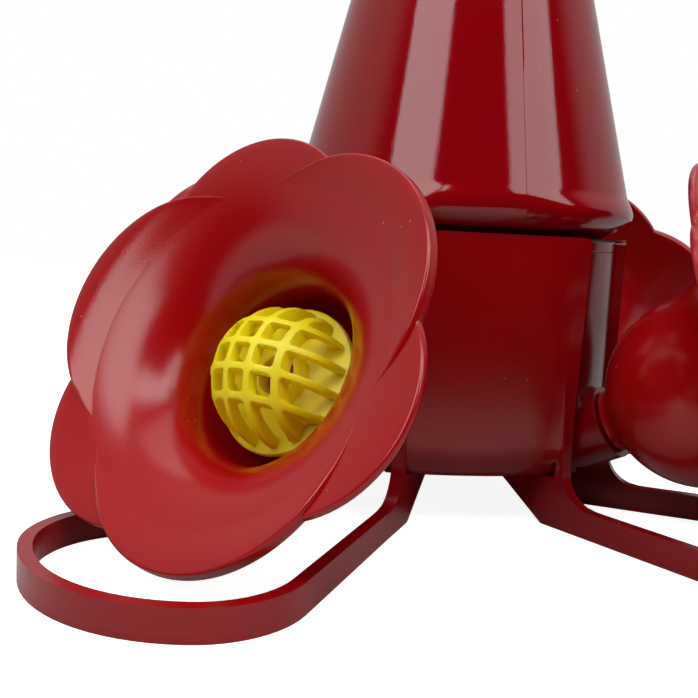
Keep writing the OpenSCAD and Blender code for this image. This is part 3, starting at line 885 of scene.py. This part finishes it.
def flat_lattice():
    bm = bmesh.new()
    bmesh.ops.create_grid(bm, x_segments=1, y_segments=1, size=guard_r + sheet_margin)
    for line in rib_lines:
        for axis in both_ways:
            cut_along(bm, line, axis)
    cells = bm.faces[:]
    bmesh.ops.inset_individual(bm, faces=cells, thickness=rib_w / 2, use_even_offset=True)
    corners = {vert for face in cells for vert in face.verts}
    bmesh.ops.bevel(bm, geom=list(corners), offset=opening_round, offset_type="OFFSET", segments=3,
                    profile=0.5, affect="VERTICES", material=-1)
    openings = [face for face in bm.faces if is_opening(face)]
    bmesh.ops.delete(bm, geom=openings, context="FACES")
    steps = int(2 * guard_r / fine_cut)
    for k in range(-steps // 2, steps // 2 + 1):
        for axis in both_ways:
            cut_along(bm, (k + 0.5) * fine_cut, axis)
    return bm


# %% Lifting the lattice onto its two spheres
lattice_weld = 0.02
rim_drop = 0.6
rib_edge = 0.16
rib_edge_angle = math.radians(50)


def lattice_dome():
    bm = flat_lattice()
    outside = [f for f in bm.faces if all(v.co.length > rim_r for v in f.verts)]
    bmesh.ops.delete(bm, geom=outside, context="FACES")
    for vert in bm.verts:
        if vert.co.length > rim_r:
            vert.co = vert.co.normalized() * rim_r
    bmesh.ops.remove_doubles(bm, verts=bm.verts[:], dist=lattice_weld)
    made = bmesh.ops.extrude_face_region(bm, geom=bm.faces[:], use_keep_orig=True)
    lifted = {item for item in made["geom"] if isinstance(item, bmesh.types.BMVert)}
    for vert in bm.verts:
        r = vert.co.length
        radius = guard_r if vert in lifted else guard_inner_r
        height = math.sqrt(max(0.0, radius ** 2 - r ** 2))
        if vert not in lifted and height < rim_drop:
            height = -rim_drop
        vert.co.z = cup_a + height
    bmesh.ops.recalc_face_normals(bm, faces=bm.faces[:])
    rims = [e for e in bm.edges if len(e.link_faces) == 2 and e.calc_face_angle() > rib_edge_angle
            and all(v in lifted for v in e.verts)]
    bmesh.ops.bevel(bm, geom=rims, offset=rib_edge, offset_type="OFFSET", segments=2, profile=0.5,
                    affect="EDGES", material=-1, clamp_overlap=True)
    turn = Matrix.Rotation(lattice_turn, 3, "Z")
    bmesh.ops.rotate(bm, verts=bm.verts[:], cent=(0, 0, 0), matrix=turn)
    print("lattice faces:", len(bm.faces))
    return bm


# %% [markdown]
# Below its dome, the guard is a plain turned ring: a skirt that goes round the raised seat, a
# flange that rests on it, and a short tube round the nozzle. One spin of a closed chain makes it.

# %% The turned flange, skirt and tube
nick, flange_round, flange_bulge = 0.2, 0.5, 0.15
tube_round, tube_flare = 0.25, 0.1
ring_steps, guard_crisp = 96, 38
skirt_end, tube_end = seat_a - skirt_h, flange_a + tube_h
tube_out = bore_r + tube_wall
skirt_profile = [
    (bore_r, seat_a), (skirt_in, seat_a), (skirt_in, skirt_end + nick), (skirt_in + nick, skirt_end),
    (guard_r - nick, skirt_end), (guard_r, skirt_end + nick), (guard_r, seat_a),
]
flange_profile = [
    (flange_r - edge_round, seat_a), (flange_r, seat_a + edge_round), (flange_r, flange_a - flange_round),
    (flange_r - flange_bulge, flange_a - flange_bulge), (flange_r - flange_round, flange_a),
]
tube_profile = [
    (tube_r + edge_round, flange_a), (tube_r, flange_a + nick),
    (tube_out + tube_flare, tube_end - tube_round), (tube_out - flange_bulge, tube_end),
    (bore_r + nick, tube_end), (bore_r, tube_end - nick),
]
print("points round the guard:", len(skirt_profile + flange_profile + tube_profile))


def turned_ring(bm, profile, steps):
    verts = [bm.verts.new((r, 0, a)) for r, a in profile]
    edges = close_chain(bm, verts)
    bmesh.ops.spin(bm, geom=verts + edges, cent=(0, 0, 0), axis=(0, 0, 1), angle=2 * math.pi,
                   steps=steps, use_merge=True, use_duplicate=False)


def guard_mesh():
    bm = lattice_dome()
    dome_faces = set(bm.faces)
    turned_ring(bm, skirt_profile + flange_profile + tube_profile, ring_steps)
    ring = [face for face in bm.faces if face not in dome_faces]
    bmesh.ops.recalc_face_normals(bm, faces=ring)
    return to_mesh(bm, "bee_guard", guard_yellow, guard_crisp)


guard = guard_mesh()

# %% [markdown]
# The feeder has four flowers and four guards, and each shape is made only once. A copy of its
# mesh is placed by the matrix of its port, so all four are the same moulding, as on a real feeder.

# %% The four flowers and the four guards, each at its corner
for corner, azimuth in corner_azimuth.items():
    at_port = port_matrix(azimuth)
    place(flower, "petals_" + corner, at_port, "base", "flower_plastic", "flower_" + corner)
    place(guard, "guard_" + corner, at_port, "base", "guard_plastic", "bee_guard_" + corner)
    print("flower and guard placed:", corner)

# %% [markdown]
# The bottle is blown in two half moulds, neck first. Its wall is one closed section, spun once
# round: neck, shoulder, heel, foot, cone, crown and stub outside, and the hollow inside. The
# foot's plan is a square with bowed sides and round corners, so after the spin every outer ring
# of the foot is pulled to that plan, and the pull fades out where the cone begins. Where the half
# moulds met, a fine ridge runs up both sides of the wall: cuts beside it keep it narrow.

# %% The bottle's sizes
panel_face, panel_bow = 31.7, 88.0
shoulder_z, neck_end_z = 55.4, 41.0
neck_r, neck_wall, bottle_wall = 16.9, 2.2, 1.5
foot_out, foot_corner_r, foot_turn_r = 2.6, 35.5, 4.2
foot_top_z, foot_blend = 62.9, 4.6
plan_blend = 1.4
heel_r, heel_width, heel_depth = 28.0, 1.8, 1.2
heel_slope, heel_edge = 1.2, 0.2
cone_r, cone_top_r, cone_h = 34.6, 13.2, 86.0
cone_up = 4.8
cone_z = shoulder_z + cone_up
cone_end_z = cone_z + cone_h
crown_r = 7.0
stub_r, stub_h = 4.0, 4.0
cone_angle = math.atan((cone_r - cone_top_r) / cone_h)
lean = math.degrees(cone_angle)
crown_z = cone_end_z + crown_r * (1 - math.sin(cone_angle))


def cone_at(z):
    return cone_r - (z - cone_z) * (cone_r - cone_top_r) / cone_h


def foot_plan(angle):
    """Distance of the foot's edge from the axis: the bowed side, or the round corner."""
    turn = (math.degrees(angle) + 45) % 90 - 45
    away = panel_bow - panel_face
    across = away * math.sin(math.radians(turn))
    side = math.sqrt((panel_bow + foot_out) ** 2 - across ** 2) - away * math.cos(math.radians(turn))
    near = max(0.0, plan_blend - abs(side - foot_corner_r)) / plan_blend
    return min(side, foot_corner_r) - near * near * plan_blend / 4


print("foot's plan at a side:", round(foot_plan(0), 2), "at a corner:", round(foot_plan(math.pi / 4), 2))

# %% The section of the wall
crown_x = cone_top_r - crown_r * math.cos(cone_angle)
crown_y = cone_end_z - crown_r * math.sin(cone_angle)
crown_stop = 88
shoulder_round, stub_fillet = 0.4, 0.6
above_turn, below_top, above_top, below_crown = 0.25, 0.05, 0.4, 1.0


def rising(radius_at, z0, z1, count):
    heights = [z0 + (z1 - z0) * i / count for i in range(count + 1)]
    return [(radius_at(z), z) for z in heights]


def heel_points():
    heel_z, heel_out = shoulder_z - heel_depth, heel_r + heel_width
    return [
        (heel_r - heel_slope, shoulder_z), (heel_r - heel_edge, heel_z + edge_round),
        (heel_r + heel_edge, heel_z), (heel_out - shoulder_round, heel_z), (heel_out, heel_z + edge_round),
    ]


def outer_section():
    turn_z = shoulder_z + foot_turn_r
    return (
        [(neck_r - edge_round, neck_end_z), (neck_r, neck_end_z + edge_round)]
        + [(neck_r, shoulder_z - shoulder_round), (neck_r + shoulder_round, shoulder_z)]
        + heel_points()
        + arc(foot_corner_r - foot_turn_r, turn_z, foot_turn_r, 270, 360, 12)
        + rising(lambda z: foot_corner_r, turn_z + above_turn, foot_top_z - below_top, 16)
        + rising(cone_at, foot_top_z + above_top, cone_end_z - below_crown, 30)
        + arc(crown_x, crown_y, crown_r, lean, crown_stop, 12)
        + arc(stub_r + stub_fillet, crown_z + stub_fillet, stub_fillet, 270, 180, 4)
        + [(stub_r, crown_z + stub_h - edge_round), (stub_r - edge_round, crown_z + stub_h)]
    )


def inner_section():
    across_wall = bottle_wall / math.cos(cone_angle)
    foot_in = panel_face + foot_out - bottle_wall
    neck_in = neck_r - neck_wall
    floor_up = shoulder_z + bottle_wall
    return (
        [(0.0, crown_z + stub_h), (0.0, crown_z - bottle_wall)]
        + arc(crown_x, crown_y, crown_r - bottle_wall, crown_stop, lean, 8)
        + rising(lambda z: cone_at(z) - across_wall, cone_end_z - below_crown, foot_top_z, 10)
        + arc(foot_in - foot_turn_r, floor_up + foot_turn_r, foot_turn_r, 0, -90, 6)
        + [(neck_in, floor_up), (neck_in, neck_end_z + edge_round), (neck_in + edge_round, neck_end_z)]
    )


print("points of the wall outside and inside:", len(outer_section()), len(inner_section()))


# %% Spinning the wall, squaring the foot and raising the seam
bottle_steps, bottle_weld, bottle_crisp = 180, 0.003, 32
pull_from_r = 25.5
seam_angle = math.radians(276)
seam_cuts = [math.radians(degrees) for degrees in (-0.75, -0.32, 0.32, 0.75)]
seam_from_z, seam_rise = shoulder_z + 1, 0.045
on_the_cut, on_the_seam = 1e-5, 1e-3
print("the wall's mesh has", bottle_steps, "steps round")


def square_foot(bm, outside):
    for vert in bm.verts:
        if vert[outside] < 0.5 or vert.co.z > foot_top_z:
            continue
        distance = math.hypot(vert.co.x, vert.co.y)
        if distance < pull_from_r:
            continue
        angle = math.atan2(vert.co.y, vert.co.x)
        plan = foot_plan(angle)
        k = min(1.0, max(0.0, (foot_top_z - vert.co.z) / foot_blend))
        k = k * k * (3 - 2 * k)
        edge = cone_at(vert.co.z) * (1 - k) + plan * k
        wanted = edge - (foot_corner_r - distance)
        vert.co.x *= wanted / distance
        vert.co.y *= wanted / distance


def raise_seam(bm, outside):
    for offset in seam_cuts:
        across = Vector((-math.sin(seam_angle + offset), math.cos(seam_angle + offset), 0))
        bmesh.ops.bisect_plane(bm, geom=bm.verts[:] + bm.edges[:] + bm.faces[:], dist=on_the_cut,
                               plane_co=(0, 0, 0), plane_no=across)
    across = Vector((-math.sin(seam_angle), math.cos(seam_angle), 0))
    for vert in bm.verts:
        in_line = abs(vert.co.dot(across)) < on_the_seam
        if vert[outside] > 0.5 and in_line and vert.co.z > seam_from_z:
            flat = Vector((vert.co.x, vert.co.y, 0))
            vert.co += flat.normalized() * seam_rise


def bottle_shell(bm):
    outside = bm.verts.layers.float.new("outside")
    verts = []
    for section, mark in ((outer_section(), 1.0), (inner_section(), 0.0)):
        for r, z in section:
            vert = bm.verts.new((r, 0, z))
            vert[outside] = mark
            verts.append(vert)
    edges = close_chain(bm, verts)
    to_seam = Matrix.Rotation(seam_angle, 3, "Z")
    bmesh.ops.rotate(bm, verts=verts, cent=(0, 0, 0), matrix=to_seam)
    bmesh.ops.spin(bm, geom=verts + edges, cent=(0, 0, 0), axis=(0, 0, 1), angle=2 * math.pi,
                   steps=bottle_steps, use_merge=True, use_duplicate=False)
    bmesh.ops.remove_doubles(bm, verts=bm.verts[:], dist=bottle_weld)
    square_foot(bm, outside)
    raise_seam(bm, outside)
    bm.verts.layers.float.remove(outside)


# %% [markdown]
# The bottle screws into its collar. A thread is one small section, spun round the axis while it
# climbs by the pitch in every turn. It is kept fine, to stay in the gap between neck and collar.

# %% The thread on the neck
thread_pitch, thread_height, thread_turns = 4.0, 0.25, 2.5
thread_up, thread_sink, thread_foot, thread_crest = 1.5, 0.2, 0.9, 0.3
turn_steps = 48


def neck_thread(bm):
    middle = neck_end_z + thread_up
    section = [
        (neck_r - thread_sink, middle - thread_foot), (neck_r + thread_height, middle - thread_crest),
        (neck_r + thread_height, middle + thread_crest), (neck_r - thread_sink, middle + thread_foot),
    ]
    verts = [bm.verts.new((r, 0, z)) for r, z in section]
    edges = close_chain(bm, verts)
    cap = bm.faces.new(verts)
    bmesh.ops.spin(bm, geom=verts + edges + [cap], cent=(0, 0, 0), axis=(0, 0, 1),
                   dvec=(0, 0, thread_pitch / turn_steps), angle=2 * math.pi * thread_turns,
                   steps=int(turn_steps * thread_turns), use_merge=False, use_duplicate=False)


def bottle_mesh():
    bm = bmesh.new()
    bottle_shell(bm)
    neck_thread(bm)
    bmesh.ops.recalc_face_normals(bm, faces=bm.faces[:])
    return to_mesh(bm, "bottle", bottle_red, bottle_crisp)


place(bottle_mesh(), "blown_bottle", millimetres, "bottle", "bottle_plastic", "bottle")

# %% [markdown]
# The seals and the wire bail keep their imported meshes. A ring and a bent wire are already right in
# every detail that can be seen, so a new model would only copy them. Their materials change.

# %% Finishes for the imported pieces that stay
finish_of = {"neck_seal": seal_rubber, "hanger_bail": bail_steel}
finish_of.update({"spout_seal_" + corner: seal_rubber for corner in corner_azimuth})


def finish(piece, material):
    piece.data.materials.clear()
    piece.data.materials.append(material)


for name, material in finish_of.items():
    finish(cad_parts[name], material)
    print(name, "is finished in", material.name)

# %% [markdown]
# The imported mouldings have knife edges, and a real moulding has none: its edges are what catch
# the light. They could be modelled anew, but their shapes are right. So a copy of each mesh is
# merged, its flat areas are joined again, and its sharp edges are bevelled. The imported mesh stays.

# %% Softening a copy of a moulding
flat_within = math.radians(0.6)
sharp_above = math.radians(28)
moulding_crisp = 34
sliver, bevel_weld = 0.02 * MM, 0.006 * MM


def softened(node, name, material, edge, merge):
    bm = bmesh.new()
    bm.from_mesh(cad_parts[node].data)
    bmesh.ops.remove_doubles(bm, verts=bm.verts[:], dist=merge * MM)
    bmesh.ops.dissolve_degenerate(bm, edges=bm.edges[:], dist=sliver)
    bmesh.ops.dissolve_limit(bm, angle_limit=flat_within, verts=bm.verts[:], edges=bm.edges[:],
                             use_dissolve_boundaries=False, delimit=set())
    sharp = [e for e in bm.edges if len(e.link_faces) == 2 and e.calc_face_angle(0) > sharp_above]
    bmesh.ops.bevel(bm, geom=sharp, offset=edge * MM, offset_type="OFFSET", segments=3, profile=0.5,
                    affect="EDGES", material=-1, clamp_overlap=True)
    bmesh.ops.remove_doubles(bm, verts=bm.verts[:], dist=bevel_weld)
    bmesh.ops.dissolve_degenerate(bm, edges=bm.edges[:], dist=bevel_weld)
    print(node, "sharp edges:", len(sharp))
    return to_mesh(bm, name, material, moulding_crisp)


# %% [markdown]
# A bevel bends the shading of the flat face beside it, and a large panel then looks like a pillow.
# Finer bevels would only hide that. Weighted normals cure it, because the largest face decides at
# each corner. The faces are cut into triangles after that, so the largest face is still whole.

# %% Keeping the flat faces flat
full_weight = 100


def keep_flat(piece):
    flat = piece.modifiers.new("flat_faces", "WEIGHTED_NORMAL")
    flat.keep_sharp = True
    flat.weight = full_weight
    cut = piece.modifiers.new("triangles", "TRIANGULATE")
    cut.keep_custom_normals = True


# %% The four mouldings: node, piece, material, edge's radius, merging distance, body and slot
still = Matrix.Identity(4)
softened_nodes = [
    ("perch_frame", "perch_moulding", perch_red, 0.25, 0.16, "base", "perch_plastic"),
    ("nectar_bowl", "bowl_moulding", bowl_red, 0.20, 0.02, "base", "bowl_plastic"),
    ("bowl_cover", "cover_moulding", bowl_red, 0.25, 0.02, "base", "bowl_plastic"),
    ("hanger_cap", "cap_moulding", bowl_red, 0.25, 0.02, "bottle", "bowl_plastic"),
]
for node, name, material, edge, merge, body, slot in softened_nodes:
    mesh = softened(node, name, material, edge, merge)
    keep_flat(place(mesh, name, still, body, slot, node))

# %% [markdown]
# Last, the view. The Standard transform shows a colour as it is written.

# %% The view
bpy.context.scene.view_settings.view_transform = "Standard"
